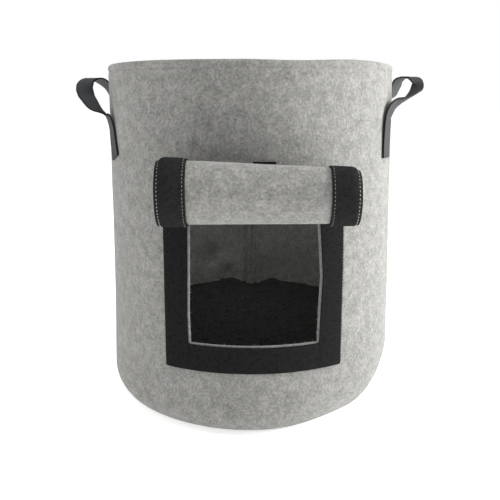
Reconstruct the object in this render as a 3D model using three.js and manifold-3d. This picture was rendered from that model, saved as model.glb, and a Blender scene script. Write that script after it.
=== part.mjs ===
// A round felt grow bag with soil in it. Its front has a window framed with hook-and-loop tape,
// and the felt flap that closes the window is rolled up above it. Two webbing handles are sewn on
// the sides.
//
// Millimetres, +Z up. The origin is the centre of the base's underside and the front faces -Y.
// An angle round the bag is in degrees from the front, positive towards +X.

import * as THREE from 'three';
import { mergeVertices } from 'three/addons/utils/BufferGeometryUtils.js';
import Module from 'manifold-3d';

const wasm = await Module();
wasm.setup();

// Sizes of the felt pot
const bagHeight = 350;
const rimDiameter = 293;
const baseDiameter = 307;
const feltThickness = 3;
const cornerRadius = 30;
const hemDepth = 11;
const hemStitchDrop = 7;
const hemCrease = 0.6;
const backSeamWidth = 9;
const backSeamRidge = 2.4;
const dentDepth = 3;
const rimWave = 2;

// Sizes of the window and of the tape round it
const windowWidth = 123;
const windowHeight = 142;
const windowShift = 3;
const sillHeight = 93;
const edgeWander = 4;
const tapeWidth = 25;
const tapeThickness = 1.3;
const cutEdge = 1;

// Sizes of the flap, which is rolled up from its free end with its taped face outwards
const flapWidth = 168;
const flapLength = 188;
const flapShift = 6.5;
const flapSeamLap = 6;
const flapSeamAllowance = 11;
const flapTapeStart = 9;
const rollDiameterLeft = 57;
const rollDiameterRight = 48.5;
const rollDrop = 28.5;
const tuckStart = 225;
const tuckEnd = 320;
const keeperWidth = 20;
const keeperLength = 11;
const keeperShift = 12;

// Sizes of the webbing handles
const strapWidth = 20;
const strapThickness = 1.5;
const strapSpread = 130;
const strapFootDrop = 91;
const strapLegLength = 36;
const strapEase = 0.6;
const loopReach = 32;
const loopRise = 42;

// Sizes of the soil
const soilDepth = 69;
const lumpHeight = 10;

// Clearances: between pieces that are sewn or pressed together, and where the soil lies in the felt
const sewnGap = 0.3;
const soilGap = 0.3;

// How finely round forms are cut into faces
const wallFacets = 60;
const cornerSteps = 5;
const wallRows = 7;
const windowColumns = 10;
const windowRows = 5;
const frameColumns = 16;
const frameRows = 6;
const flapStations = 26;
const flapColumns = 8;
const windingStep = 4;
const windingEnd = 540;
const strapSteps = 3;
const soilRings = [1, 0.93, 0.84, 0.74, 0.64, 0.53, 0.42, 0.3, 0.17, 0.06];

// How the foot of the wall rounds off, by angle: radius as a share of cornerRadius
const cornerTable = [
  { angle: -180, radius: 1.10 },
  { angle: -90, radius: 1.05 },
  { angle: -45, radius: 0.90 },
  { angle: 0, radius: 0.85 },
  { angle: 45, radius: 1.30 },
  { angle: 75, radius: 1.95 },
  { angle: 110, radius: 1.90 },
  { angle: 150, radius: 1.30 },
];

// The rim's sag below the full height, by angle: a share of rimWave
const rimTable = [
  { angle: -180, sag: 0.6 },
  { angle: -120, sag: 0.2 },
  { angle: -85, sag: 0.5 },
  { angle: -40, sag: 0.3 },
  { angle: -5, sag: 0.5 },
  { angle: 15, sag: 0.9 },
  { angle: 40, sag: 0.0 },
  { angle: 80, sag: 0.8 },
  { angle: 130, sag: 0.1 },
];

// Soft dents and swells of the wall: place and spread round the bag in degrees, place and spread
// up the bag as shares of its height, and how far the felt moves outwards as a share of dentDepth
const dentTable = [
  { angle: -92, spread: 26, height: 0.95, rise: 0.16, out: 0.75 },
  { angle: 88, spread: 24, height: 0.90, rise: 0.18, out: 0.45 },
  { angle: -30, spread: 16, height: 0.86, rise: 0.14, out: -0.45 },
  { angle: 34, spread: 15, height: 0.82, rise: 0.16, out: -0.40 },
  { angle: 60, spread: 16, height: 0.40, rise: 0.20, out: 0.45 },
  { angle: -68, spread: 18, height: 0.38, rise: 0.20, out: -0.50 },
  { angle: 178, spread: 20, height: 0.66, rise: 0.20, out: -0.80 },
  { angle: 140, spread: 18, height: 0.78, rise: 0.18, out: 0.70 },
  { angle: -142, spread: 20, height: 0.46, rise: 0.18, out: 0.60 },
];

// The window's cut edges up the window: shifts to the outside as shares of edgeWander
const windowEdgeTable = [
  { rise: 0.00, left: 0.00, right: 0.10 },
  { rise: 0.20, left: 0.20, right: 0.35 },
  { rise: 0.44, left: 0.05, right: 0.80 },
  { rise: 0.66, left: -0.10, right: 0.25 },
  { rise: 1.00, left: -0.25, right: -0.65 },
];

// The free loops of the handles from the front leg over the top to the rear one. Forward is the
// share of half the spread, out a share of loopReach, rise a share of loopRise, turn is how far
// the webbing's width has turned from lying along the wall, its front edge going outwards, and
// wide is the share of strapWidth that it keeps where it is pinched together.
const leftLoop = [
  { forward: 0.955, out: 0.090, rise: 0.060, turn: -4, wide: 1.00 },
  { forward: 0.935, out: 0.190, rise: 0.130, turn: 3, wide: 1.00 },
  { forward: 0.840, out: 0.390, rise: 0.220, turn: 30, wide: 1.00 },
  { forward: 0.540, out: 0.580, rise: 0.430, turn: 36, wide: 1.00 },
  { forward: 0.300, out: 0.720, rise: 0.600, turn: 48, wide: 0.95 },
  { forward: 0.220, out: 0.775, rise: 0.760, turn: 85, wide: 0.85 },
  { forward: 0.130, out: 0.740, rise: 0.900, turn: 112, wide: 0.90 },
  { forward: 0.000, out: 0.650, rise: 0.975, turn: 122, wide: 1.00 },
  { forward: -0.290, out: 0.540, rise: 0.970, turn: 118, wide: 1.00 },
  { forward: -0.560, out: 0.360, rise: 0.760, turn: 127, wide: 1.00 },
  { forward: -0.710, out: 0.290, rise: 0.460, turn: 140, wide: 1.00 },
  { forward: -0.840, out: 0.190, rise: 0.290, turn: 160, wide: 1.00 },
  { forward: -0.950, out: 0.120, rise: 0.110, turn: 185, wide: 1.00 },
];
const rightLoop = [
  { forward: 0.970, out: 0.030, rise: 0.080, turn: 0, wide: 1.00 },
  { forward: 0.900, out: 0.060, rise: 0.210, turn: -2, wide: 1.00 },
  { forward: 0.740, out: 0.145, rise: 0.320, turn: -9, wide: 1.00 },
  { forward: 0.380, out: 0.560, rise: 0.550, turn: 6, wide: 1.00 },
  { forward: 0.200, out: 0.785, rise: 0.730, turn: 40, wide: 0.75 },
  { forward: 0.140, out: 0.835, rise: 0.880, turn: 90, wide: 0.55 },
  { forward: 0.060, out: 0.760, rise: 0.985, turn: 116, wide: 0.75 },
  { forward: -0.040, out: 0.660, rise: 1.020, turn: 130, wide: 0.95 },
  { forward: -0.220, out: 0.500, rise: 0.985, turn: 142, wide: 1.00 },
  { forward: -0.370, out: 0.490, rise: 0.850, turn: 140, wide: 1.00 },
  { forward: -0.490, out: 0.540, rise: 0.690, turn: 139, wide: 1.00 },
  { forward: -0.640, out: 0.550, rise: 0.490, turn: 143, wide: 1.00 },
  { forward: -0.870, out: 0.350, rise: 0.270, turn: 166, wide: 1.00 },
  { forward: -0.960, out: 0.110, rise: 0.110, turn: 181, wide: 1.00 },
];

// The two handles: which side, and how far apart their legs stand as shares of strapSpread
const handleTable = [
  { name: 'handle_left', side: -1, feet: 1.035, tops: 0.84, loop: leftLoop },
  { name: 'handle_right', side: 1, feet: 1.06, tops: 1.04, loop: rightLoop },
];

// Lumps of the soil's surface: place by angle and by share of its radius, spread as a share of
// the radius, and height as a share of lumpHeight
const lumpTable = [
  { angle: -169, reach: 0.84, spread: 0.13, height: 1.25 },
  { angle: 167, reach: 0.86, spread: 0.12, height: 1.05 },
  { angle: 180, reach: 0.90, spread: 0.09, height: -0.60 },
  { angle: -153, reach: 0.85, spread: 0.16, height: 0.50 },
  { angle: 152, reach: 0.88, spread: 0.12, height: 0.50 },
  { angle: -80, reach: 0.55, spread: 0.26, height: 0.50 },
  { angle: 70, reach: 0.60, spread: 0.24, height: -0.40 },
  { angle: 10, reach: 0.50, spread: 0.28, height: 0.55 },
  { angle: -35, reach: 0.80, spread: 0.18, height: -0.45 },
];

// Plain mathematics

const toRadians = (degrees) => degrees * Math.PI / 180;
const toDegrees = (radians) => radians * 180 / Math.PI;
const mix = (from, to, share) => from + (to - from) * share;
const bell = (distance) => Math.exp(-distance * distance);

// Even shares from 0 to 1
const steps = (count) => Array.from({ length: count + 1 }, (unused, i) => i / count);

// The smallest turn from one angle to another, in degrees
function turnBetween(from, to) {
  return ((to - from + 540) % 360 + 360) % 360 - 180;
}

// A value of a table that goes round the bag, eased between its rows
function roundTable(table, angle, column) {
  const count = table.length;
  for (let i = 0; i < count; i += 1) {
    const row = table[i];
    const next = table[(i + 1) % count];
    const width = (next.angle - row.angle + 360) % 360;
    const along = ((angle - row.angle) % 360 + 360) % 360;
    if (along <= width) {
      const share = (1 - Math.cos(Math.PI * along / width)) / 2;
      return mix(row[column], next[column], share);
    }
  }
  return table[0][column];
}

// A value of a table that goes up the window, straight between its rows
function riseTable(table, rise, column) {
  const bounded = THREE.MathUtils.clamp(rise, 0, 1);
  const above = Math.max(1, table.findIndex((row) => row.rise >= bounded));
  const low = table[above - 1];
  const high = table[above];
  return mix(low[column], high[column], (bounded - low.rise) / (high.rise - low.rise));
}

// The wall's outer surface

function dentAt(angle, z) {
  let out = 0;
  for (const dent of dentTable) {
    const round = turnBetween(dent.angle, angle) / dent.spread;
    const up = (z / bagHeight - dent.height) / dent.rise;
    out += dent.out * dentDepth * bell(round) * bell(up);
  }
  return out;
}

function wallRadius(angle, z) {
  const cone = mix(baseDiameter, rimDiameter, z / bagHeight) / 2;
  return cone + dentAt(angle, z);
}

function rimHeight(angle) {
  return bagHeight - rimWave * roundTable(rimTable, angle, 'sag');
}

// A point at an angle and a height, some distance outside the wall's outer face
function wallPoint(angle, z, outside) {
  const radius = wallRadius(angle, z) + outside;
  const turn = toRadians(angle);
  return new THREE.Vector3(radius * Math.sin(turn), -radius * Math.cos(turn), z);
}

// The same point given by its distance along the wall from the front line
function wallPlace(along, z, outside) {
  return wallPoint(toDegrees(along / wallRadius(0, z)), z, outside);
}

// The rounded foot: where its rounding is centred, and its radius
function footCorner(angle) {
  const radius = cornerRadius * roundTable(cornerTable, angle, 'radius');
  return { radius, centre: wallRadius(angle, radius) - radius };
}

// The foot's quarter round, from the underside up, as radius and height
function footProfile(angle, outside) {
  const corner = footCorner(angle);
  const points = [];
  for (let step = 0; step <= cornerSteps; step += 1) {
    const turn = Math.PI / 2 * (1 - step / cornerSteps);
    const reach = corner.radius + outside;
    points.push([corner.centre + reach * Math.cos(turn), corner.radius - reach * Math.sin(turn)]);
  }
  return points;
}

// The foot's round inside the wall, which runs up into the back seam's ridge
function innerFoot(angle, outside) {
  const points = footProfile(angle, outside);
  points[cornerSteps][0] -= seamRidge(angle);
  return points;
}

function pointAt(angle, [radius, z]) {
  const turn = toRadians(angle);
  return new THREE.Vector3(radius * Math.sin(turn), -radius * Math.cos(turn), z);
}

// Solids

// Joins equal corners and turns the faces outwards
function closedSolid(geometry) {
  const solid = mergeVertices(geometry, 1e-4);
  if (signedVolume(solid) < 0) {
    const index = solid.index.array;
    for (let i = 0; i < index.length; i += 3) {
      [index[i], index[i + 1]] = [index[i + 1], index[i]];
    }
  }
  return solid;
}

function signedVolume(geometry) {
  const place = geometry.attributes.position;
  const index = geometry.index.array;
  const corners = [new THREE.Vector3(), new THREE.Vector3(), new THREE.Vector3()];
  let volume = 0;
  for (let i = 0; i < index.length; i += 3) {
    corners.forEach((corner, k) => corner.fromBufferAttribute(place, index[i + k]));
    volume += corners[0].dot(corners[1].clone().cross(corners[2])) / 6;
  }
  return volume;
}

// A solid through rings of points. A fan closes each end, unless the rings loop back to the first.
function ringSolid(rings, loops = false) {
  const count = rings[0].length;
  const points = rings.flat();
  const index = [];
  const spans = loops ? rings.length : rings.length - 1;
  for (let r = 0; r < spans; r += 1) {
    const low = r * count;
    const high = ((r + 1) % rings.length) * count;
    for (let c = 0; c < count; c += 1) {
      const next = (c + 1) % count;
      index.push(low + c, low + next, high + next, low + c, high + next, high + c);
    }
  }
  if (!loops) {
    const last = (rings.length - 1) * count;
    points.push(middleOf(rings[0]), middleOf(rings[rings.length - 1]));
    for (let c = 0; c < count; c += 1) {
      const next = (c + 1) % count;
      index.push(points.length - 2, next, c, points.length - 1, last + c, last + next);
    }
  }
  return closedSolid(new THREE.BufferGeometry().setFromPoints(points).setIndex(index));
}

function middleOf(points) {
  const sum = points.reduce((total, point) => total.add(point), new THREE.Vector3());
  return sum.divideScalar(points.length);
}

// A sheet with a thickness, from a grid of points on each of its two faces
function sheetSolid(outer, inner) {
  const rows = outer.length;
  const columns = outer[0].length;
  const index = [];
  const out = (row, column) => row * columns + column;
  const back = (row, column) => (rows + row) * columns + column;
  const addQuad = (a, b, c, d) => index.push(a, b, c, a, c, d);
  for (let r = 0; r < rows - 1; r += 1) {
    for (let c = 0; c < columns - 1; c += 1) {
      addQuad(out(r, c), out(r, c + 1), out(r + 1, c + 1), out(r + 1, c));
      addQuad(back(r, c), back(r + 1, c), back(r + 1, c + 1), back(r, c + 1));
    }
    const end = columns - 1;
    addQuad(out(r, 0), out(r + 1, 0), back(r + 1, 0), back(r, 0));
    addQuad(out(r, end), back(r, end), back(r + 1, end), out(r + 1, end));
  }
  for (let c = 0; c < columns - 1; c += 1) {
    const end = rows - 1;
    addQuad(out(0, c), back(0, c), back(0, c + 1), out(0, c + 1));
    addQuad(out(end, c), out(end, c + 1), back(end, c + 1), back(end, c));
  }
  const geometry = new THREE.BufferGeometry().setFromPoints([...outer.flat(), ...inner.flat()]);
  geometry.setIndex(index);
  return closedSolid(geometry);
}

function toManifold(geometry) {
  return new wasm.Manifold(new wasm.Mesh({
    numProp: 3,
    vertProperties: new Float32Array(geometry.attributes.position.array),
    triVerts: new Uint32Array(geometry.index.array),
  }));
}

function cutFrom(body, cutter) {
  const mesh = toManifold(body).subtract(toManifold(cutter)).getMesh();
  const geometry = new THREE.BufferGeometry();
  geometry.setAttribute('position', new THREE.BufferAttribute(mesh.vertProperties, 3));
  geometry.setIndex(new THREE.BufferAttribute(mesh.triVerts, 1));
  return geometry;
}

// A piece of cloth that follows the wall between four edges. The two sides give the distance
// along the wall at each height, and the faces lie at two distances outside the wall.
function wallPatch({ left, right, bottom, top, inside, outside, columns, rows }) {
  const face = (distance) => steps(rows).map((rowShare) => {
    const z = mix(bottom, top, rowShare);
    return steps(columns).map((share) => wallPlace(mix(left(z), right(z), share), z, distance));
  });
  return sheetSolid(face(outside), face(inside));
}

// The felt wall

// Angles of the wall's columns: even ones, and close ones across the back seam
function wallAngles() {
  const seamHalf = toDegrees(backSeamWidth / 2 / (rimDiameter / 2));
  const angles = [];
  for (let i = 1; i < wallFacets; i += 1) {
    angles.push(-180 + 360 * i / wallFacets);
  }
  const seam = [0, 0.35, 1].map((share) => -180 + share * seamHalf);
  const otherSeam = [1, 0.35].map((share) => 180 - share * seamHalf);
  return [...seam, ...angles, ...otherSeam];
}

// How far the turned-in edges of the back seam stand inside the wall
function seamRidge(angle) {
  const along = Math.abs(turnBetween(180, angle)) / 180 * Math.PI * rimDiameter / 2;
  return along < 0.45 * backSeamWidth ? backSeamRidge : 0;
}

// The outer groove where the two edges of the back seam meet
function seamGroove(angle) {
  return Math.abs(turnBetween(180, angle)) < 0.1 ? backSeamRidge / 3 : 0;
}

// One section of the wall: up its outer face, over the rim, and down its inner face
function wallSection(angle) {
  const rim = rimHeight(angle);
  const foot = footCorner(angle).radius;
  const creaseHeight = rim - hemStitchDrop;
  const ridge = seamRidge(angle);
  const groove = seamGroove(angle);
  const at = (z, outside) => [wallRadius(angle, z) + outside, z];
  const rowHeight = (row) => mix(foot, rim - hemDepth, row / wallRows);

  const outer = footProfile(angle, 0);
  for (let row = 1; row <= wallRows; row += 1) {
    outer.push(at(rowHeight(row), -groove));
  }
  outer.push(at(creaseHeight, -hemCrease));
  outer.push(at(rim - feltThickness / 2, 0));
  outer.push(at(rim - feltThickness / 6, -feltThickness / 3));

  const inner = innerFoot(angle, -feltThickness);
  for (let row = 1; row <= wallRows; row += 1) {
    inner.push(at(rowHeight(row), -feltThickness - ridge));
  }
  inner.push(at(rim - hemDepth + hemCrease, -2 * feltThickness - ridge));
  inner.push(at(rim - feltThickness / 2, -2 * feltThickness - ridge));
  inner.push(at(rim, -feltThickness));

  return [...outer, ...inner.reverse()].map((point) => pointAt(angle, point));
}

const windowTop = sillHeight + windowHeight;
const cutterReach = 4 * feltThickness;

function windowSide(column, side) {
  return (z) => {
    const wander = edgeWander * riseTable(windowEdgeTable, (z - sillHeight) / windowHeight, column);
    return windowShift + side * (windowWidth / 2 + wander);
  };
}

const windowLeft = windowSide('left', -1);
const windowRight = windowSide('right', 1);

function makeWall() {
  const wall = ringSolid(wallAngles().map(wallSection), true);
  const opening = wallPatch({
    left: windowLeft,
    right: windowRight,
    bottom: sillHeight,
    top: windowTop,
    inside: -cutterReach,
    outside: cutterReach,
    columns: windowColumns,
    rows: windowRows,
  });
  return cutFrom(wall, opening);
}

// The round base, whose edge meets the wall's turned-in foot
function makeBase() {
  const ring = (z) => wallAngles().map((angle) => {
    return pointAt(angle, [footCorner(angle).centre - sewnGap, z]);
  });
  return ringSolid([ring(0), ring(feltThickness)]);
}

// Tape round the window

const tapeFaces = { inside: sewnGap, outside: sewnGap + tapeThickness };
const frameFoot = sillHeight - cutEdge - tapeWidth;

function makeFrameSide(windowEdge, straightEdge, side) {
  const nearWindow = (z) => windowEdge(z) + side * cutEdge;
  const outerEdge = () => straightEdge + side * (cutEdge + tapeWidth);
  return wallPatch({
    left: side < 0 ? outerEdge : nearWindow,
    right: side < 0 ? nearWindow : outerEdge,
    bottom: frameFoot,
    top: windowTop,
    columns: 3,
    rows: frameRows,
    ...tapeFaces,
  });
}

function makeFrameBottom() {
  return wallPatch({
    left: () => windowLeft(sillHeight) - cutEdge + sewnGap,
    right: () => windowRight(sillHeight) + cutEdge - sewnGap,
    bottom: frameFoot,
    top: sillHeight - cutEdge,
    columns: frameColumns,
    rows: 1,
    ...tapeFaces,
  });
}

// The rolled flap. Its middle line is worked out in the plane across the roll, as points (y, z):
// down the wall from its top edge, off the wall at the seam, round under the roll, up its front,
// over its top and inside itself at the back.

const seamHeight = windowTop + flapSeamLap;
const flapTopEdge = seamHeight + flapSeamAllowance;
const flapLeft = flapShift - flapWidth / 2;
const flapRight = flapShift + flapWidth / 2;
const layerStep = feltThickness + tapeThickness + 2 * sewnGap;

function rollRadius(x) {
  return mix(rollDiameterLeft, rollDiameterRight, (x - flapLeft) / flapWidth) / 2;
}

// Where the felt's middle line lies when it is sewn on the wall at x
function sewnDepth(x, z) {
  const turn = Math.asin(x / wallRadius(0, z));
  const radius = wallRadius(toDegrees(turn), z) + sewnGap + feltThickness / 2;
  return -Math.sqrt(radius * radius - x * x);
}

// The middle line's distance from the roll's axis: it tucks in as it comes over the top, between
// two angles of its winding
function coilRadius(x, winding) {
  const tuck = THREE.MathUtils.smoothstep(winding, tuckStart, tuckEnd);
  return rollRadius(x) - feltThickness / 2 - layerStep * tuck;
}

function densePath(x) {
  const seam = new THREE.Vector2(sewnDepth(x, seamHeight), seamHeight);
  const radius = coilRadius(x, 0);
  const axis = new THREE.Vector2(
    -wallRadius(0, seamHeight) - sewnGap - rollRadius(x),
    seamHeight - rollDrop + rollRadius(x),
  );
  const away = seam.clone().sub(axis);
  const lead = Math.acos(Math.min(1, radius / away.length())) - Math.atan2(away.y, away.x);
  const points = [new THREE.Vector2(sewnDepth(x, flapTopEdge), flapTopEdge), seam];
  for (let winding = Math.max(0, toDegrees(lead)); winding < windingEnd; winding += windingStep) {
    const turn = toRadians(winding);
    const reach = coilRadius(x, winding);
    points.push(new THREE.Vector2(axis.x + reach * Math.cos(turn), axis.y - reach * Math.sin(turn)));
  }
  return points;
}

// The path's point at a distance along it
function pointAlong(points, distance) {
  let left = distance;
  for (let i = 1; i < points.length; i += 1) {
    const length = points[i].distanceTo(points[i - 1]);
    if (left <= length || i === points.length - 1) {
      return points[i - 1].clone().lerp(points[i], left / length);
    }
    left -= length;
  }
  return points[0].clone();
}

// Where the flap's faces are divided, along its path and across it, so that tapes lie flat on it
const sideTapeStart = flapSeamAllowance + flapTapeStart;
const endTapeStart = flapLength - tapeWidth;
const flapStops = dividedList([
  [0, 1],
  [flapSeamAllowance, 2],
  [sideTapeStart, flapStations],
  [endTapeStart, 5],
  [flapLength, 0],
]);
const flapPlaces = dividedList([
  [flapLeft, 2],
  [flapLeft + tapeWidth, flapColumns],
  [flapRight - tapeWidth, 2],
  [flapRight, 0],
]);

// Places between named ones: each row gives a place and the count of spans after it
function dividedList(rows) {
  const places = rows.slice(0, -1).flatMap(([place, spans], i) => {
    return steps(spans).slice(0, -1).map((share) => mix(place, rows[i + 1][0], share));
  });
  return [...places, rows[rows.length - 1][0]];
}

// One row of points round the roll at x. They lie at a distance from the felt's middle line,
// positive away from the roll's axis.
function rolledRow(x, stops, distance) {
  const points = densePath(x);
  const reach = flapLength / flapStations / 2;
  return stops.map((stop) => {
    const here = pointAlong(points, stop);
    const before = pointAlong(points, Math.max(0, stop - reach));
    const along = pointAlong(points, stop + reach).sub(before).normalize();
    return new THREE.Vector3(x, here.x - along.y * distance, here.y + along.x * distance);
  });
}

// A rolled sheet through places across the roll and stops along the path
function rolledSheet(places, stops, inside, outside) {
  const face = (distance) => places.map((x) => rolledRow(x, stops, distance));
  return sheetSolid(face(outside), face(inside));
}

function makeFlap() {
  return rolledSheet(flapPlaces, flapStops, -feltThickness / 2, feltThickness / 2);
}

// A tape on the flap's outward face
function makeFlapTape(places, start) {
  const inside = feltThickness / 2 + sewnGap;
  const stops = flapStops.filter((stop) => stop >= start);
  return rolledSheet(places, stops, inside, inside + tapeThickness);
}

function makeFlapSideTape(side) {
  const places = side < 0 ? flapPlaces.slice(0, 3) : flapPlaces.slice(-3);
  return makeFlapTape(places, sideTapeStart);
}

function makeFlapEndTape() {
  const places = flapPlaces.slice(2, -2);
  places[0] += sewnGap;
  places[places.length - 1] -= sewnGap;
  return makeFlapTape(places, endTapeStart);
}

// The tab behind the roll, sewn on the wall just above the flap's top edge
function makeKeeper() {
  return wallPatch({
    left: () => keeperShift - keeperWidth / 2,
    right: () => keeperShift + keeperWidth / 2,
    bottom: flapTopEdge + sewnGap,
    top: flapTopEdge + sewnGap + keeperLength,
    columns: 3,
    rows: 1,
    ...tapeFaces,
  });
}

// Webbing handles

// A handle's middle line from its front foot to its rear one, as places with an angle from the
// bag's side, a height, a distance outside the wall, a turn of the width and a share of it
function handlePlaces({ feet, tops, loop }) {
  const halfAngle = (share) => toDegrees(strapSpread * share / 2 / (rimDiameter / 2));
  const footHeight = bagHeight - strapFootDrop;
  const seat = sewnGap + strapThickness / 2;
  const legs = [[0, 0], [0.45, 0], [0.85, strapEase]].map(([share, ease]) => {
    const forward = halfAngle(mix(feet, tops, share));
    const z = footHeight + share * strapLegLength;
    return { forward, z, outside: seat + ease, turn: 0, wide: 1 };
  });
  const free = loop.map((row) => {
    const forward = row.forward * halfAngle(tops);
    const z = footHeight + strapLegLength + row.rise * loopRise;
    return { forward, z, outside: seat + row.out * loopReach, turn: row.turn, wide: row.wide };
  });
  const rear = legs.map((leg) => ({ ...leg, forward: -leg.forward, turn: 180 })).reverse();
  return [...legs, ...free, ...rear];
}

function makeHandle(shape) {
  const places = handlePlaces(shape);
  const angleOf = (place) => shape.side * (90 - place.forward);
  const points = places.map((place) => wallPoint(angleOf(place), place.z, place.outside));
  const curve = new THREE.CatmullRomCurve3(points, false, 'centripetal');
  const spans = places.length - 1;
  const rows = steps(spans * strapSteps).map((share) => {
    const span = Math.min(spans - 1, Math.floor(share * spans));
    const within = share * spans - span;
    const turn = toRadians(mix(places[span].turn, places[span + 1].turn, within));
    const half = strapWidth / 2 * mix(places[span].wide, places[span + 1].wide, within);
    const angle = toRadians(mix(angleOf(places[span]), angleOf(places[span + 1]), within));
    const outward = new THREE.Vector3(Math.sin(angle), -Math.cos(angle), 0);
    const rearward = new THREE.Vector3(Math.cos(angle), Math.sin(angle), 0).multiplyScalar(shape.side);
    const along = curve.getTangent(share);
    const across = rearward.multiplyScalar(Math.cos(turn)).addScaledVector(outward, -Math.sin(turn));
    across.addScaledVector(along, -across.dot(along)).normalize();
    const face = along.clone().cross(across);
    const middle = curve.getPoint(share);
    return (thick) => [-1, 1].map((side) => middle.clone()
      .addScaledVector(across, side * half)
      .addScaledVector(face, thick * strapThickness / 2));
  });
  return sheetSolid(rows.map((row) => row(1)), rows.map((row) => row(-1)));
}

// The soil

function soilHeight(angle, reach) {
  const turn = toRadians(angle);
  let height = feltThickness + soilGap + soilDepth;
  for (const lump of lumpTable) {
    const place = toRadians(lump.angle);
    const dx = reach * Math.sin(turn) - lump.reach * Math.sin(place);
    const dy = reach * Math.cos(turn) - lump.reach * Math.cos(place);
    height += lump.height * lumpHeight * bell(Math.hypot(dx, dy) / lump.spread);
  }
  return height;
}

function makeSoil() {
  // In this order the soil's faces are split the same way as the wall's inner faces beside them
  const angles = wallAngles().reverse();
  const outside = -feltThickness - soilGap;
  const foot = angles.map((angle) => innerFoot(angle, outside));
  const footRings = steps(cornerSteps).map((share, step) => {
    return angles.map((angle, i) => pointAt(angle, foot[i][step]));
  });
  const topRings = soilRings.map((reach) => {
    return angles.map((angle) => {
      const z = soilHeight(angle, reach);
      const radius = wallRadius(angle, z) + outside - seamRidge(angle);
      return pointAt(angle, [reach * radius, z]);
    });
  });
  return ringSolid([...footRings, ...topRings]);
}

// The pieces, each with its own finish

const bag = new THREE.Group();

function addPiece(name, geometry, color, roughness) {
  const material = new THREE.MeshStandardMaterial({ color, roughness, metalness: 0 });
  const mesh = new THREE.Mesh(geometry, material);
  mesh.name = name;
  bag.add(mesh);
}

const feltGrey = 0xa9a9a7;
const tapeBlack = 0x232323;
const webbingBlack = 0x303236;
const soilBlack = 0x1d1b1a;

addPiece('bag_wall', makeWall(), feltGrey, 0.95);
addPiece('bag_base', makeBase(), feltGrey, 0.95);
addPiece('frame_tape_left', makeFrameSide(windowLeft, windowShift - windowWidth / 2, -1), tapeBlack, 0.9);
addPiece('frame_tape_right', makeFrameSide(windowRight, windowShift + windowWidth / 2, 1), tapeBlack, 0.9);
addPiece('frame_tape_bottom', makeFrameBottom(), tapeBlack, 0.9);
addPiece('flap', makeFlap(), feltGrey, 0.95);
addPiece('flap_tape_left', makeFlapSideTape(-1), tapeBlack, 0.9);
addPiece('flap_tape_right', makeFlapSideTape(1), tapeBlack, 0.9);
addPiece('flap_tape_bottom', makeFlapEndTape(), tapeBlack, 0.9);
addPiece('keeper_tab', makeKeeper(), tapeBlack, 0.9);
for (const shape of handleTable) {
  addPiece(shape.name, makeHandle(shape), webbingBlack, 0.8);
}
addPiece('soil_bed', makeSoil(), soilBlack, 1);

export default bag;
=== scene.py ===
# A felt grow bag with soil in it, a taped window and a rolled flap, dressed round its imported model.
#
# Metres, +Z up. The origin is the centre of the base's underside and the window faces -Y.
# An angle round the bag is in degrees from the front, positive towards +X.
import math
import random
from bisect import bisect_left
from functools import lru_cache

import bpy
from mathutils import Matrix, Quaternion, Vector, noise


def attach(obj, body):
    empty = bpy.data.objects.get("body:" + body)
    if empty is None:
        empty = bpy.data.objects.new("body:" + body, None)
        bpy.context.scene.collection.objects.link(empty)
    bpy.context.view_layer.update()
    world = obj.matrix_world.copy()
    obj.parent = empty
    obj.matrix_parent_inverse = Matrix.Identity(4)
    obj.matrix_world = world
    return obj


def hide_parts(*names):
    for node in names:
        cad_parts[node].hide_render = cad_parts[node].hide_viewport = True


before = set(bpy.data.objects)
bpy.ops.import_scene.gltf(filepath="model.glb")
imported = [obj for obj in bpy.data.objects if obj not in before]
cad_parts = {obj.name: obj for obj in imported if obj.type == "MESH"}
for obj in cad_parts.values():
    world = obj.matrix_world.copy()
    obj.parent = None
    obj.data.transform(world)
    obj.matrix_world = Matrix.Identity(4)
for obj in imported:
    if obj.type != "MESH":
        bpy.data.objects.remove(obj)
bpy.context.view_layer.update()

# Sizes of the felt pot
BAG_HEIGHT = 0.350
RIM_DIAMETER = 0.293
BASE_DIAMETER = 0.307
FELT = 0.003
FELT_SHEET = FELT - 0.0002
CORNER_RADIUS = 0.030
HEM_DEPTH = 0.011
HEM_STITCH_DROP = 0.007
HEM_CREASE = 0.0009
HEM_CREASE_WIDTH = 0.0013
HEM_CREASE_INSIDE = 0.0005
HEM_CREASE_INSIDE_WIDTH = 0.0015
HEM_PUFF = 0.0002
SEAM_ALLOWANCE = 0.0045
SEAM_FOLD_SHARE = 0.6
SEAM_GAP = 0.0001
DENT_DEPTH = 0.003
RIM_WAVE = 0.002
RIM_FLARE = 0.0001
RIPPLE_DEPTH = 0.0004
RIPPLE_LENGTH = 0.045
RIPPLE_RADIUS = 0.15
FLARE_HEIGHT = 0.03

# Sizes of the window and of the tape round it
WINDOW_WIDTH = 0.123
WINDOW_HEIGHT = 0.142
WINDOW_SHIFT = 0.003
SILL_HEIGHT = 0.093
EDGE_WANDER = 0.004
TAPE_WIDTH = 0.025
TAPE = 0.0013
CUT_EDGE = 0.001
TAPE_CROWN = 0.00025
TAPE_WAVE = 0.0001
TAPE_WAVE_LENGTH = 0.009

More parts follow.
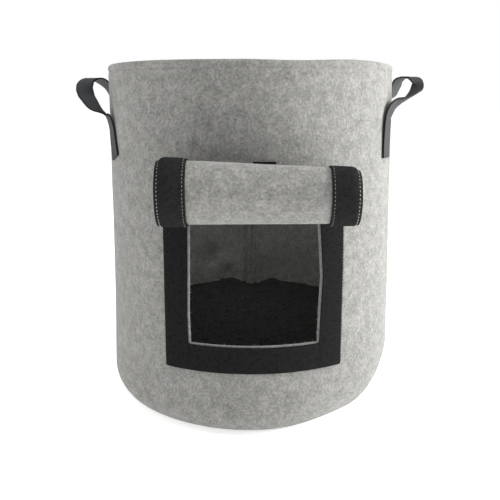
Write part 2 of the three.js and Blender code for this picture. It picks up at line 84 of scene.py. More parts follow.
# Sizes of the flap, which is rolled up from its free end with its taped face outwards
FLAP_WIDTH = 0.168
FLAP_LENGTH = 0.188
FLAP_SHIFT = 0.0065
FLAP_SEAM_LAP = 0.006
FLAP_SEAM_ALLOWANCE = 0.011
FLAP_TAPE_START = 0.009
ROLL_DIAMETER_LEFT = 0.057
ROLL_DIAMETER_RIGHT = 0.0485
ROLL_DROP = 0.0285
END_SLACK = 0.0016
END_SLACK_LENGTH = 0.0035
ROLL_WAVE = 0.0003
ROLL_WAVE_LENGTH = 0.030
FLAP_WANDER = 0.0006
FLAP_TAPE_CROWN = 0.00035
TUCK_START = 225
TUCK_END = 320
WINDING_END = 540
WINDING_STEP = 3
ALONG_STEP = 0.003
BORDER_FALL = 0.004
KEEPER_WIDTH = 0.020
KEEPER_LENGTH = 0.0101
KEEPER_SHIFT = 0.012

# Sizes of the webbing handles
STRAP_WIDTH = 0.020
STRAP = 0.0015
STRAP_SPREAD = 0.130
STRAP_FOOT_DROP = 0.091
STRAP_LEG_LENGTH = 0.036
STRAP_EASE = 0.0006
STRAP_SELVEDGE = 0.0012
STRAP_BOX_TOP = 0.5
LOOP_REACH = 0.032
LOOP_RISE = 0.042
RIB_SCALE = 230.0
PICK_SCALE = 330.0

# Sizes of the soil, and the gaps between pieces
SOIL_DEPTH = 0.069
SOIL_SIDE = [0.060, 0.050, 0.040, 0.031, 0.023, 0.016, 0.010, 0.0055]
LUMP_HEIGHT = 0.010
CLOD_HEIGHT = 0.0020
GRAIN_HEIGHT = 0.0011
SEAM_CLEAR_ANGLE = 2.5
CRUMB_COUNT = 2600
SEWN_GAP = 0.0003

# Thread, and the loose fibres of the felt. A row of stitches stops ROW_END short of an edge.
STITCH_LENGTH = 0.0022
STITCH_PITCH = 0.0029
STITCH_INSET = 0.0023
THREAD = 0.00045
THREAD_LIFT = 0.0001
HEM_STITCH_PITCH = 0.0036
# A painted shadow: the angle of the dark stitch line inside the back seam, which stands in for the
# seam's shade.
SEAM_SHADOW_ANGLE = 179.3
ROW_END = 0.002
FIBRE_COUNT = 420

# The photo's camera, and the studio's light
CAMERA_PLACE = (-0.0007, -0.735, 0.3165)
CAMERA_PITCH = 12.75
CAMERA_LENS = 48.4
WORLD_LIGHT = 0.72
FLOOR_GLOW = 0.6


def table(columns, *rows):
    """Rows under named columns."""
    return [dict(zip(columns.split(), row)) for row in rows]


# How the foot of the wall rounds off, by angle: radius as a share of CORNER_RADIUS
CORNER_TABLE = table(
    "angle radius",
    (-180, 1.1),
    (-90, 1.05),
    (-45, 0.9),
    (0, 0.85),
    (45, 1.3),
    (75, 1.95),
    (110, 1.9),
    (150, 1.3),
)

# The rim by angle: its sag as a share of RIM_WAVE, and its flare as a share of RIM_FLARE
RIM_TABLE = table(
    "angle sag flare",
    (-180, 0.6, 0.2),
    (-120, 0.2, 0.8),
    (-85, 0.5, 1),
    (-40, 0.3, 0.3),
    (-5, 0.5, 0.1),
    (15, 0.9, 0.2),
    (40, 0, 0.4),
    (80, 0.8, 0.7),
    (130, 0.1, 0.4),
)

# Soft dents and swells of the wall: place and spread round the bag in degrees, place and spread
# up the bag as shares of its height, and how far the felt moves outwards as a share of DENT_DEPTH
DENT_TABLE = table(
    "angle spread height rise out",
    (-92, 26, 0.95, 0.16, 0.3),
    (88, 24, 0.9, 0.18, 0.05),
    (-30, 16, 0.86, 0.14, -0.45),
    (34, 15, 0.82, 0.16, -0.4),
    (60, 16, 0.4, 0.2, 0.45),
    (-68, 18, 0.38, 0.2, -0.5),
    (178, 20, 0.66, 0.2, -0.8),
    (140, 18, 0.78, 0.18, 0.7),
    (-142, 20, 0.46, 0.18, 0.6),
)

# Small creases of the felt, in the same columns. Those at the back show through the window.
CREASE_TABLE = table(
    "angle spread height rise out",
    (-174, 4, 0.44, 0.11, 1.5),
    (-178.5, 1.6, 0.42, 0.16, -0.6),
    (-160, 4, 0.31, 0.04, 1.2),
    (-167, 4, 0.29, 0.03, -0.8),
    (172, 5, 0.33, 0.06, -0.4),
    (-14, 9, 0.8, 0.06, -0.25),
    (12, 10, 0.86, 0.05, 0.2),
    (-50, 8, 0.62, 0.07, 0.2),
    (52, 7, 0.3, 0.05, -0.2),
    (-62, 7, 0.2, 0.05, -0.25),
    (100, 10, 0.55, 0.08, -0.35),
)

# The window's cut edges up the window: shifts to the outside as shares of EDGE_WANDER
WINDOW_EDGE_TABLE = table(
    "rise left right",
    (0, 0, 0.1),
    (0.2, 0.2, 0.35),
    (0.44, 0.05, 0.8),
    (0.66, -0.1, 0.25),
    (1, -0.25, -0.65),
)

# The free loops of the handles from the front leg over the top to the rear one. Forward is the
# share of half the spread, out a share of LOOP_REACH, rise a share of LOOP_RISE, turn is how far
# the webbing's width has turned from lying along the wall, its front edge going outwards, and
# wide is the share of STRAP_WIDTH that it keeps where it is pinched together.
LEFT_LOOP = table(
    "forward out rise turn wide",
    (0.955, 0.09, 0.06, -4, 1),
    (0.935, 0.19, 0.13, 3, 1),
    (0.84, 0.39, 0.22, 30, 1),
    (0.54, 0.58, 0.43, 36, 1),
    (0.3, 0.72, 0.6, 48, 0.95),
    (0.22, 0.775, 0.76, 85, 0.85),
    (0.13, 0.74, 0.9, 112, 0.9),
    (0, 0.65, 0.975, 122, 1),
    (-0.29, 0.54, 0.97, 118, 1),
    (-0.56, 0.36, 0.76, 127, 1),
    (-0.71, 0.29, 0.46, 140, 1),
    (-0.84, 0.19, 0.29, 160, 1),
    (-0.95, 0.12, 0.11, 185, 1),
)
RIGHT_LOOP = table(
    "forward out rise turn wide",
    (0.97, 0.03, 0.08, 0, 1),
    (0.9, 0.06, 0.21, -2, 1),
    (0.74, 0.145, 0.32, -9, 1),
    (0.38, 0.56, 0.55, 6, 1),
    (0.2, 0.785, 0.73, 40, 0.75),
    (0.14, 0.835, 0.88, 90, 0.55),
    (0.06, 0.76, 0.985, 116, 0.75),
    (-0.04, 0.66, 1.02, 130, 0.95),
    (-0.22, 0.5, 0.985, 142, 1),
    (-0.37, 0.49, 0.85, 140, 1),
    (-0.49, 0.54, 0.69, 139, 1),
    (-0.64, 0.55, 0.49, 143, 1),
    (-0.87, 0.35, 0.27, 166, 1),
    (-0.96, 0.11, 0.11, 181, 1),
)

# The two handles: which side, and how far apart their legs stand as shares of STRAP_SPREAD
HANDLE_TABLE = table(
    "name side feet tops loop",
    ("handle_left", -1, 1.035, 0.84, LEFT_LOOP),
    ("handle_right", 1, 1.06, 1.04, RIGHT_LOOP),
)

# Lumps of the soil's surface: place by angle and by share of its radius, spread as a share of
# the radius, and height as a share of LUMP_HEIGHT
LUMP_TABLE = table(
    "angle reach spread height",
    (-169, 0.84, 0.13, 1.25),
    (167, 0.86, 0.12, 1.05),
    (180, 0.9, 0.09, -0.6),
    (-153, 0.85, 0.16, 0.5),
    (152, 0.88, 0.12, 0.5),
    (-80, 0.55, 0.26, 0.5),
    (70, 0.6, 0.24, -0.4),
    (10, 0.5, 0.28, 0.55),
    (-35, 0.8, 0.18, -0.45),
)


# Plain mathematics

def mix(low, high, share):
    return low + (high - low) * share


def bell(distance):
    return math.exp(-distance * distance)


def smooth(low, high, value):
    share = min(1.0, max(0.0, (value - low) / (high - low)))
    return share * share * (3 - 2 * share)


def turn_between(low, high):
    return (high - low + 180) % 360 - 180


def divided(rows):
    """Places between named ones: each row gives a place and the count of spans after it."""
    places = []
    for (place, spans), (following, _) in zip(rows, rows[1:]):
        places += [mix(place, following, step / spans) for step in range(spans)]
    return places + [rows[-1][0]]


def round_table(rows, angle, column):
    """A value of a table that goes round the bag, eased between its rows."""
    for row, following in zip(rows, rows[1:] + rows[:1]):
        width = (following["angle"] - row["angle"]) % 360
        along = (angle - row["angle"]) % 360
        if along <= width:
            share = (1 - math.cos(math.pi * along / width)) / 2
            return mix(row[column], following[column], share)
    return rows[0][column]


def rise_table(rows, rise, column):
    """A value of a table that goes up the window, straight between its rows."""
    rise = min(1.0, max(0.0, rise))
    for low, high in zip(rows, rows[1:]):
        if rise <= high["rise"]:
            share = (rise - low["rise"]) / (high["rise"] - low["rise"])
            return mix(low[column], high[column], share)
    return rows[-1][column]


def ripple(point, length, seed):
    """A smooth uneven value about zero, at a point in space."""
    return noise.noise(Vector(point) / length + Vector((seed, 2.3 * seed, -seed)))


# The wall's outer surface

def wall_radius(angle, z):
    radius = mix(BASE_DIAMETER, RIM_DIAMETER, z / BAG_HEIGHT) / 2
    for dent in DENT_TABLE + CREASE_TABLE:
        across = turn_between(dent["angle"], angle) / dent["spread"]
        up = (z / BAG_HEIGHT - dent["height"]) / dent["rise"]
        radius += dent["out"] * DENT_DEPTH * bell(across) * bell(up)
    turn = math.radians(angle)
    spot = (RIPPLE_RADIUS * math.sin(turn), RIPPLE_RADIUS * math.cos(turn), z)
    radius += RIPPLE_DEPTH * ripple(spot, RIPPLE_LENGTH, 3.0)
    flare = round_table(RIM_TABLE, angle, "flare") * RIM_FLARE
    return radius + flare * smooth(BAG_HEIGHT - FLARE_HEIGHT, BAG_HEIGHT, z)


def rim_height(angle):
    return BAG_HEIGHT - RIM_WAVE * round_table(RIM_TABLE, angle, "sag")


def around(angle, radius, z):
    turn = math.radians(angle)
    return Vector((radius * math.sin(turn), -radius * math.cos(turn), z))


def wall_point(angle, z, outside):
    return around(angle, wall_radius(angle, z) + outside, z)


@lru_cache(maxsize=None)
def front_radius(z):
    return wall_radius(0, z)


def wall_angle(along, z):
    return math.degrees(along / front_radius(round(z, 4)))


def wall_place(along, z, outside):
    """A point given by its distance along the wall from the front line."""
    return wall_point(wall_angle(along, z), z, outside)


def foot_corner(angle):
    radius = CORNER_RADIUS * round_table(CORNER_TABLE, angle, "radius")
    return radius, wall_radius(angle, radius) - radius


# Making pieces

def select_only(piece):
    bpy.ops.object.select_all(action="DESELECT")
    piece.select_set(True)
    bpy.context.view_layer.objects.active = piece


def add_grid(name, columns, rows):
    """A flat cloth of one unit by one, whose corners stand in rows from its lower left."""
    bpy.ops.object.select_all(action="DESELECT")
    bpy.ops.mesh.primitive_grid_add(x_subdivisions=columns, y_subdivisions=rows, size=1)
    piece = bpy.context.object
    piece.name = name
    piece.data.name = name
    return piece


def cut_out(piece, inside):
    """Cuts away the faces whose middle the test finds inside, while the cloth is still flat."""
    select_only(piece)
    bpy.ops.object.mode_set(mode="EDIT")
    bpy.ops.mesh.select_mode(type="FACE")
    bpy.ops.mesh.select_all(action="DESELECT")
    bpy.ops.object.mode_set(mode="OBJECT")
    for face in piece.data.polygons:
        face.select = inside(face.center.x + 0.5, face.center.y + 0.5)
    bpy.ops.object.mode_set(mode="EDIT")
    bpy.ops.mesh.delete(type="FACE")
    bpy.ops.object.mode_set(mode="OBJECT")


def bend(piece, place, width, length):
    """Moves each corner of a flat cloth to its place, and lays its map out in metres."""
    for loop in piece.data.uv_layers.active.data:
        loop.uv = (loop.uv[0] * width, loop.uv[1] * length)
    for corner in piece.data.vertices:
        corner.co = place(corner.co.x + 0.5, corner.co.y + 0.5)


def thicken(piece, thickness, even=True):
    select_only(piece)
    modifier = piece.modifiers.new("Solidify", "SOLIDIFY")
    modifier.thickness = thickness
    modifier.offset = 0
    modifier.use_even_offset = even
    bpy.ops.object.modifier_apply(modifier=modifier.name)


def finish_piece(piece, material, nodes=(), smooth_angle=50):
    piece.data.materials.clear()
    piece.data.materials.append(material)
    select_only(piece)
    bpy.ops.object.shade_smooth_by_angle(angle=math.radians(smooth_angle))
    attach(piece, "root")
    if nodes:
        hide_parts(*nodes)


def many(name, form, placings):
    """One mesh of many copies of a small form, each placed by its own matrix."""
    base = [corner.co.copy() for corner in form.data.vertices]
    faces = [list(face.vertices) for face in form.data.polygons]
    corners = []
    all_faces = []
    for matrix in placings:
        start = len(corners)
        corners += [matrix @ corner for corner in base]
        all_faces += [[start + index for index in face] for face in faces]
    mesh = bpy.data.meshes.new(name)
    mesh.from_pydata(corners, [], all_faces)
    piece = bpy.data.objects.new(name, mesh)
    bpy.context.scene.collection.objects.link(piece)
    bpy.data.objects.remove(form)
    return piece


# Materials

def new_material(name, color, roughness):
    material = bpy.data.materials.new(name)
    material.use_nodes = True
    shader = material.node_tree.nodes["Principled BSDF"]
    shader.inputs["Base Color"].default_value = (*color, 1)
    shader.inputs["Roughness"].default_value = roughness
    shader.inputs["Specular IOR Level"].default_value = 0.25
    return material, shader


def add_node(material, kind, inputs=None, **settings):
    node = material.node_tree.nodes.new(kind)
    for key, value in settings.items():
        setattr(node, key, value)
    for key, value in (inputs or {}).items():
        if isinstance(value, bpy.types.NodeSocket):
            material.node_tree.links.new(value, node.inputs[key])
        else:
            node.inputs[key].default_value = value
    return node


def link(material, source, target):
    material.node_tree.links.new(source, target)


def coordinates(material, name, scale=(1, 1, 1), rotation=(0, 0, 0)):
    source = add_node(material, "ShaderNodeTexCoord").outputs[name]
    inputs = {"Vector": source, "Scale": scale, "Rotation": rotation}
    return add_node(material, "ShaderNodeMapping", inputs).outputs["Vector"]


def add_noise(material, vector, scale, detail=3.0, roughness=0.55):
    inputs = {"Vector": vector, "Scale": scale, "Detail": detail, "Roughness": roughness}
    return add_node(material, "ShaderNodeTexNoise", inputs).outputs["Fac"]


def add_math(material, operation, first, second):
    node = add_node(material, "ShaderNodeMath", {0: first, 1: second}, operation=operation)
    return node.outputs["Value"]


def add_sum(material, *parts):
    """The sum of some values, each times its weight."""
    total = None
    for value, weight in parts:
        part = add_math(material, "MULTIPLY", value, weight)
        total = add_math(material, "ADD", total, part) if total else part
    return total


def add_ramp(material, factor, stops):
    node = add_node(material, "ShaderNodeValToRGB", {"Fac": factor})
    ramp = node.color_ramp
    while len(ramp.elements) < len(stops):
        ramp.elements.new(0.5)
    for element, (position, color) in zip(ramp.elements, stops):
        element.position = position
        element.color = (*color, 1)
    return node.outputs["Color"]


def colour_by(material, shader, factor, stops):
    link(material, add_ramp(material, factor, stops), shader.inputs["Base Color"])


def add_bump(material, height, strength, distance, normal=None):
    inputs = {"Height": height, "Strength": strength, "Distance": distance}
    if normal:
        inputs["Normal"] = normal
    return add_node(material, "ShaderNodeBump", inputs).outputs["Normal"]


def grey(value):
    return (value, value, value)


def warm_grey(value):
    return (value * 1.01, value, value * 0.945)


def felt_material():
    """Heathered needle felt: soft clouds of light and dark fibre, with fibres lying all ways."""
    material, shader = new_material("grey_felt", grey(0.33), 0.95)
    plain = coordinates(material, "Object")
    clouds = add_noise(material, plain, 110, 4, 0.65)
    blotches = add_noise(material, plain, 420, 3, 0.6)
    fibres = []
    for turn, lean in ((0.3, 0.2), (1.3, -0.5), (2.4, 0.9)):
        stretched = coordinates(material, "Object", (1, 0.16, 0.5), (lean, turn * 0.7, turn))
        fibres.append(add_noise(material, stretched, 1900, 2, 0.5))
    strands = add_math(material, "MAXIMUM", add_math(material, "MAXIMUM", *fibres[:2]), fibres[2])
    tone = add_sum(material, (clouds, 0.26), (blotches, 0.34), (strands, 0.36))
    stops = [(0.37, warm_grey(0.105)), (0.50, warm_grey(0.205)), (0.63, warm_grey(0.33))]
    colour_by(material, shader, tone, stops)
    relief = add_bump(material, strands, 0.5, 0.0006)
    link(material, add_bump(material, blotches, 0.35, 0.0010, relief), shader.inputs["Normal"])
    shader.inputs["Sheen Weight"].default_value = 0.12
    shader.inputs["Sheen Roughness"].default_value = 0.5
    return material


def tape_material(name, shade, pitch, strength):
    """Black tape whose face is a close field of small hooks or loops."""
    material, shader = new_material(name, grey(shade), 0.95)
    shader.inputs["Specular IOR Level"].default_value = 0.04
    mapped = coordinates(material, "UV")
    cells = add_node(material, "ShaderNodeTexVoronoi", {"Vector": mapped, "Scale": 1 / pitch})
    fuzz = add_noise(material, mapped, 1500, 3)
    height = add_math(material, "ADD", cells.outputs["Distance"], fuzz)
    wear = add_noise(material, mapped, 260, 4, 0.65)
    tone = add_sum(material, (height, 0.5), (wear, 1.0))
    stops = [(0.62, grey(shade * 0.5)), (0.85, grey(shade)), (1.0, grey(shade * 2.0))]
    colour_by(material, shader, tone, stops)
    link(material, add_bump(material, height, strength, 0.0005), shader.inputs["Normal"])
    return material


def webbing_material():
    """Black webbing: ribs along it, crossed by a fine weave, with dark selvedges."""
    material, shader = new_material("black_webbing", grey(0.02), 0.75)
    mapped = coordinates(material, "UV")
    ribs, picks = (add_node(material, "ShaderNodeTexWave", {"Vector": mapped, "Scale": scale},
                            bands_direction=way).outputs["Fac"]
                   for scale, way in ((RIB_SCALE, "X"), (PICK_SCALE, "Y")))
    weave = add_math(material, "MULTIPLY", ribs, picks)
    parts = add_node(material, "ShaderNodeSeparateXYZ", {"Vector": mapped})
    off_middle = add_math(material, "SUBTRACT", parts.outputs["X"], STRAP_WIDTH / 2)
    across = add_math(material, "ABSOLUTE", off_middle, 0)
    edge = add_math(material, "GREATER_THAN", across, STRAP_WIDTH / 2 - STRAP_SELVEDGE)
    tone = add_math(material, "SUBTRACT", add_math(material, "ADD", weave, 0.25), edge)
    stops = [(0.0, grey(0.004)), (0.25, (0.022, 0.024, 0.026)), (1.0, (0.062, 0.065, 0.067))]
    colour_by(material, shader, tone, stops)
    link(material, add_bump(material, weave, 0.5, 0.0004), shader.inputs["Normal"])
    return material


def thread_material(name, shade):
    material, shader = new_material(name, grey(shade), 0.7)
    twist = add_noise(material, coordinates(material, "Object"), 2500, 1)
    stops = [(0.3, grey(shade * 0.7)), (0.7, grey(min(1, shade * 1.15)))]
    colour_by(material, shader, twist, stops)
    link(material, add_bump(material, twist, 0.4, 0.0002), shader.inputs["Normal"])
    return material


def soil_material():
    """Damp potting soil, near black, with browner crumbs."""
    material, shader = new_material("potting_soil", grey(0.012), 0.9)
    plain = coordinates(material, "Object")
    grains = add_noise(material, plain, 420, 5, 0.7)
    patches = add_noise(material, plain, 60, 3)
    tone = add_sum(material, (grains, 0.7), (patches, 0.3))
    stops = [(0.38, grey(0.009)), (0.52, (0.014, 0.013, 0.0125)), (0.70, (0.026, 0.023, 0.021))]
    colour_by(material, shader, tone, stops)
    link(material, add_bump(material, grains, 0.8, 0.0015), shader.inputs["Normal"])
    return material


felt = felt_material()
hook_tape = tape_material("hook_tape", 0.007, 0.0011, 0.8)
loop_tape = tape_material("loop_tape", 0.009, 0.0007, 0.5)
webbing = webbing_material()
white_thread = thread_material("white_thread", 0.6)
grey_thread = thread_material("grey_thread", 0.22)
black_thread = thread_material("black_thread", 0.010)
pale_fibre = thread_material("pale_fibre", 0.4)
soil = soil_material()

# The felt wall

WINDOW_TOP = SILL_HEIGHT + WINDOW_HEIGHT


def window_side(column, side, z):
    wander = EDGE_WANDER * rise_table(WINDOW_EDGE_TABLE, (z - SILL_HEIGHT) / WINDOW_HEIGHT, column)
    return WINDOW_SHIFT + side * (WINDOW_WIDTH / 2 + wander)


def window_left(z):
    return window_side("left", -1, z)


def window_right(z):
    return window_side("right", 1, z)


# The wall's columns and rows, as stretches with a count of spans. In a stretch that goes round, 0
# and 3 are the back seam's turned-in edges, and 1 and 2 the window's sides.
WALL_COLUMNS = divided([(-1, 8), (0, 118), (1, 46), (2, 118), (3, 8), (4, 0)])
WALL_ROWS = divided([(0, 9), (1, 16), (2, 44), (3, 26), (4, 12), (5, 8), (6, 4), (7, 0)])


def seam_fold(share):
    """The back seam's turned-in edge: its distance from the seam and its depth in the wall."""
    turn = min(1.0, share / SEAM_FOLD_SHARE) * math.pi
    away = SEAM_GAP + FELT / 2 * (1 - math.sin(turn))
    past = max(0.0, share - SEAM_FOLD_SHARE) / (1 - SEAM_FOLD_SHARE)
    away += past * (SEAM_ALLOWANCE - FELT / 2)
    return away, FELT - FELT / 2 * math.cos(turn)


def wall_height(angle, row):
    """The height of a row between the foot and the rim's fold."""
    foot, _ = foot_corner(angle)
    rim = rim_height(angle)
    stops = [foot, SILL_HEIGHT, WINDOW_TOP, rim - HEM_DEPTH - FELT, rim - FELT]
    stretch = min(3, int(row) - 1)
    return mix(stops[stretch], stops[stretch + 1], row - 1 - stretch)


def wall_spot(angle, row, depth):
    """A point of the wall's middle layer, by angle and row, with a depth below its outer face."""
    rim = rim_height(angle)
    if row < 1:
        radius, centre = foot_corner(angle)
        turn = math.pi / 2 * (1 - row)
        reach = radius - depth
        return around(angle, centre + reach * math.cos(turn), radius - reach * math.sin(turn))
    if row <= 5:
        z = wall_height(angle, row)
        crease = HEM_CREASE * bell((z - rim + HEM_STITCH_DROP) / HEM_CREASE_WIDTH)
        puff = HEM_PUFF * bell((z - rim + FELT) / FELT)
        return around(angle, wall_radius(angle, z) - depth - crease + puff, z)
    fold = min(1.0, row - 5) * math.pi
    below = max(0.0, row - 6) * (HEM_DEPTH - FELT)
    z = rim - FELT + FELT / 2 * math.sin(fold) - below
    inside = depth + FELT / 2 - FELT / 2 * math.cos(fold)
    crease = HEM_CREASE_INSIDE * bell((z - rim + HEM_STITCH_DROP) / HEM_CREASE_INSIDE_WIDTH)
    return around(angle, wall_radius(angle, z) - inside - crease, z)


def wall_column_angle(column, z):
    """The angle of a wall column at a height, and its depth."""
    if column < 0 or column > 3:
        away, depth = seam_fold(-column if column < 0 else column - 3)
        side = -1 if column < 0 else 1
        return side * (180 - math.degrees(away / (RIM_DIAMETER / 2))), depth
    seam = 180 - math.degrees((SEAM_GAP + FELT / 2) / (RIM_DIAMETER / 2))
    stops = [-seam, wall_angle(window_left(z), z), wall_angle(window_right(z), z), seam]
    stretch = min(2, int(column))
    return mix(stops[stretch], stops[stretch + 1], column - stretch), FELT / 2


def make_wall():
    piece = add_grid("felt_wall", len(WALL_COLUMNS) - 1, len(WALL_ROWS) - 1)

    def stretches(across, up):
        column = WALL_COLUMNS[round(across * (len(WALL_COLUMNS) - 1))]
        return column, WALL_ROWS[round(up * (len(WALL_ROWS) - 1))]

    def in_window(across, up):
        half = 0.5 / (len(WALL_COLUMNS) - 1), 0.5 / (len(WALL_ROWS) - 1)
        low = stretches(across - half[0], up - half[1])
        return 1 <= low[0] < 2 and 2 <= low[1] < 3

    def place(across, up):
        column, row = stretches(across, up)
        rough = SILL_HEIGHT if row < 2 else mix(SILL_HEIGHT, WINDOW_TOP, min(1, row - 2))
        angle, depth = wall_column_angle(column, rough)
        return wall_spot(angle, row, depth)

    cut_out(piece, in_window)
    bend(piece, place, math.pi * BASE_DIAMETER, BAG_HEIGHT)
    thicken(piece, FELT_SHEET)
    finish_piece(piece, felt, ["bag_wall"])


def make_base():
    """The round base, a cloth square drawn out to the round of the foot."""
    piece = add_grid("felt_base", 64, 64)

    def place(across, up):
        u, v = 2 * across - 1, 2 * up - 1
        x, y = u * math.sqrt(1 - v * v / 2), v * math.sqrt(1 - u * u / 2)
        angle = math.degrees(math.atan2(x, -y))
        _, centre = foot_corner(angle)
        return around(angle, math.hypot(x, y) * (centre - SEWN_GAP), FELT / 2)

    bend(piece, place, 2 * CORNER_RADIUS, 2 * CORNER_RADIUS)
    thicken(piece, FELT_SHEET)
    finish_piece(piece, felt, ["bag_base"])


# Tapes round the window

FRAME_FOOT = SILL_HEIGHT - CUT_EDGE - TAPE_WIDTH


def wall_cloth(name, left, right, bottom, top, columns, rows, nodes):
    """A tape sewn flat on the wall between four edges, whose borders are pressed down a little."""
    piece = add_grid(name, columns, rows)
    middle = SEWN_GAP + TAPE / 2

    def place(across, up):
        z = mix(bottom, top, up)
        along = mix(left(z), right(z), across)
        border = min(across, 1 - across) * TAPE_WIDTH
        lift = TAPE_CROWN * smooth(0, BORDER_FALL, border)
        lift += TAPE_WAVE * ripple((along, z, 0), TAPE_WAVE_LENGTH, 5)
        return wall_place(along, z, middle + lift)

    width = right(top) - left(top)
    bend(piece, place, width, top - bottom)
    thicken(piece, TAPE)
    finish_piece(piece, hook_tape, nodes)


def make_frame():
    outer_left = WINDOW_SHIFT - WINDOW_WIDTH / 2 - CUT_EDGE - TAPE_WIDTH
    outer_right = WINDOW_SHIFT + WINDOW_WIDTH / 2 + CUT_EDGE + TAPE_WIDTH
    wall_cloth("frame_tape_left_cloth", lambda z: outer_left, lambda z: window_left(z) - CUT_EDGE,
               FRAME_FOOT, WINDOW_TOP, 12, 80, ["frame_tape_left"])
    wall_cloth("frame_tape_right_cloth", lambda z: window_right(z) + CUT_EDGE,
               lambda z: outer_right, FRAME_FOOT, WINDOW_TOP, 12, 80, ["frame_tape_right"])
    left_end = window_left(SILL_HEIGHT) - CUT_EDGE + SEWN_GAP
    right_end = window_right(SILL_HEIGHT) + CUT_EDGE - SEWN_GAP
    wall_cloth("frame_tape_bottom_cloth", lambda z: left_end, lambda z: right_end,
               FRAME_FOOT, SILL_HEIGHT - CUT_EDGE, 60, 12, ["frame_tape_bottom"])


# The rolled flap. Its middle line is worked out in the plane across the roll, as points (y, z):
# down the wall from its top edge, off the wall at the seam, round under the roll, up its front,
# over its top and inside itself at the back.

SEAM_HEIGHT = WINDOW_TOP + FLAP_SEAM_LAP
FLAP_TOP_EDGE = SEAM_HEIGHT + FLAP_SEAM_ALLOWANCE
FLAP_LEFT = FLAP_SHIFT - FLAP_WIDTH / 2
FLAP_RIGHT = FLAP_SHIFT + FLAP_WIDTH / 2
LAYER_STEP = FELT + TAPE + 2 * SEWN_GAP
SIDE_TAPE_START = FLAP_SEAM_ALLOWANCE + FLAP_TAPE_START
END_TAPE_START = FLAP_LENGTH - TAPE_WIDTH


def roll_radius(x):
    """The roll's radius, a little less towards its two ends."""
    slack = ROLL_WAVE * ripple((x, 0, 0), ROLL_WAVE_LENGTH, 9)
    for end in (x - FLAP_LEFT, FLAP_RIGHT - x):
        slack -= END_SLACK * bell(end / END_SLACK_LENGTH)
    return mix(ROLL_DIAMETER_LEFT, ROLL_DIAMETER_RIGHT, (x - FLAP_LEFT) / FLAP_WIDTH) / 2 + slack


def sewn_depth(x, z):
    """Where the felt's middle line lies when it is sewn on the wall at x."""
    angle = math.degrees(math.asin(x / front_radius(round(z, 4))))
    radius = wall_radius(angle, z) + SEWN_GAP + FELT / 2
    return -math.sqrt(radius * radius - x * x)


def coil_radius(x, winding):
    """The middle line's distance from the roll's axis: it tucks in as it comes over the top."""
    return roll_radius(x) - FELT / 2 - LAYER_STEP * smooth(TUCK_START, TUCK_END, winding)


@lru_cache(maxsize=None)
def roll_path(x):
    """The middle line at x, as points and their distances along it."""
    seam = Vector((sewn_depth(x, SEAM_HEIGHT), SEAM_HEIGHT))
    axis = Vector((-front_radius(round(SEAM_HEIGHT, 4)) - SEWN_GAP - roll_radius(x),
                   SEAM_HEIGHT - ROLL_DROP + roll_radius(x)))
    away = seam - axis
    leaning = math.acos(min(1.0, coil_radius(x, 0) / away.length))
    lead = math.degrees(leaning - math.atan2(away.y, away.x))
    points = [Vector((sewn_depth(x, FLAP_TOP_EDGE), FLAP_TOP_EDGE)), seam]
    winding = max(0.0, lead)
    while winding < WINDING_END:
        reach = coil_radius(x, winding)
        turn = math.radians(winding)
        points.append(axis + Vector((reach * math.cos(turn), -reach * math.sin(turn))))
        winding += WINDING_STEP
    lengths = [0.0]
    for before, after in zip(points, points[1:]):
        lengths.append(lengths[-1] + (after - before).length)
    return points, lengths


def roll_point(x, along):
    points, lengths = roll_path(x)
    at = min(len(points) - 1, max(1, bisect_left(lengths, along)))
    share = (along - lengths[at - 1]) / (lengths[at] - lengths[at - 1])
    return points[at - 1].lerp(points[at], min(1.0, max(0.0, share)))


def rolled(x, along, distance):
    """A point of the rolled flap at a distance from its middle line, away from the roll's axis."""
    x = round(x, 5)
    here = roll_point(x, along)
    ahead, behind = roll_point(x, along + ALONG_STEP), roll_point(x, max(0, along - ALONG_STEP))
    direction = (ahead - behind).normalized()
    return Vector((x, here.x - direction.y * distance, here.y + direction.x * distance))


def make_flap():
    piece = add_grid("felt_flap", 84, 120)

    def place(across, up):
        x = mix(FLAP_LEFT, FLAP_RIGHT, across)
        along = mix(0, FLAP_LENGTH, up)
        wander = FLAP_WANDER * ripple((x, along, 1), ROLL_WAVE_LENGTH, 4)
        return rolled(x, along, 0) + Vector((wander * smooth(0.0, 0.02, along), 0, 0))

    bend(piece, place, FLAP_WIDTH, FLAP_LENGTH)
    thicken(piece, FELT_SHEET)
    finish_piece(piece, felt, ["flap"])


def make_flap_tape(node, left, right, start, columns):
    piece = add_grid(node + "_cloth", columns, 110)
    middle = FELT / 2 + SEWN_GAP + TAPE / 2

    def place(across, up):
        x = mix(left, right, across)
        along = mix(start, FLAP_LENGTH, up)
        border = min(across, 1 - across) * (right - left)
        lift = FLAP_TAPE_CROWN * smooth(0, BORDER_FALL, border)
        return rolled(x, along, middle + lift)

    bend(piece, place, right - left, FLAP_LENGTH - start)
    thicken(piece, TAPE)
    finish_piece(piece, loop_tape, [node])


def make_flap_tapes():
    inner_left = FLAP_LEFT + TAPE_WIDTH
    inner_right = FLAP_RIGHT - TAPE_WIDTH
    make_flap_tape("flap_tape_left", FLAP_LEFT, inner_left, SIDE_TAPE_START, 12)
    make_flap_tape("flap_tape_right", inner_right, FLAP_RIGHT, SIDE_TAPE_START, 12)
    make_flap_tape("flap_tape_bottom", inner_left + SEWN_GAP, inner_right - SEWN_GAP,
                   END_TAPE_START, 40)


def make_keeper():
    bottom = FLAP_TOP_EDGE + SEWN_GAP
    left = KEEPER_SHIFT - KEEPER_WIDTH / 2
    wall_cloth("keeper_tab_cloth", lambda z: left, lambda z: left + KEEPER_WIDTH,
               bottom, bottom + KEEPER_LENGTH, 12, 8, ["keeper_tab"])


# Webbing handles

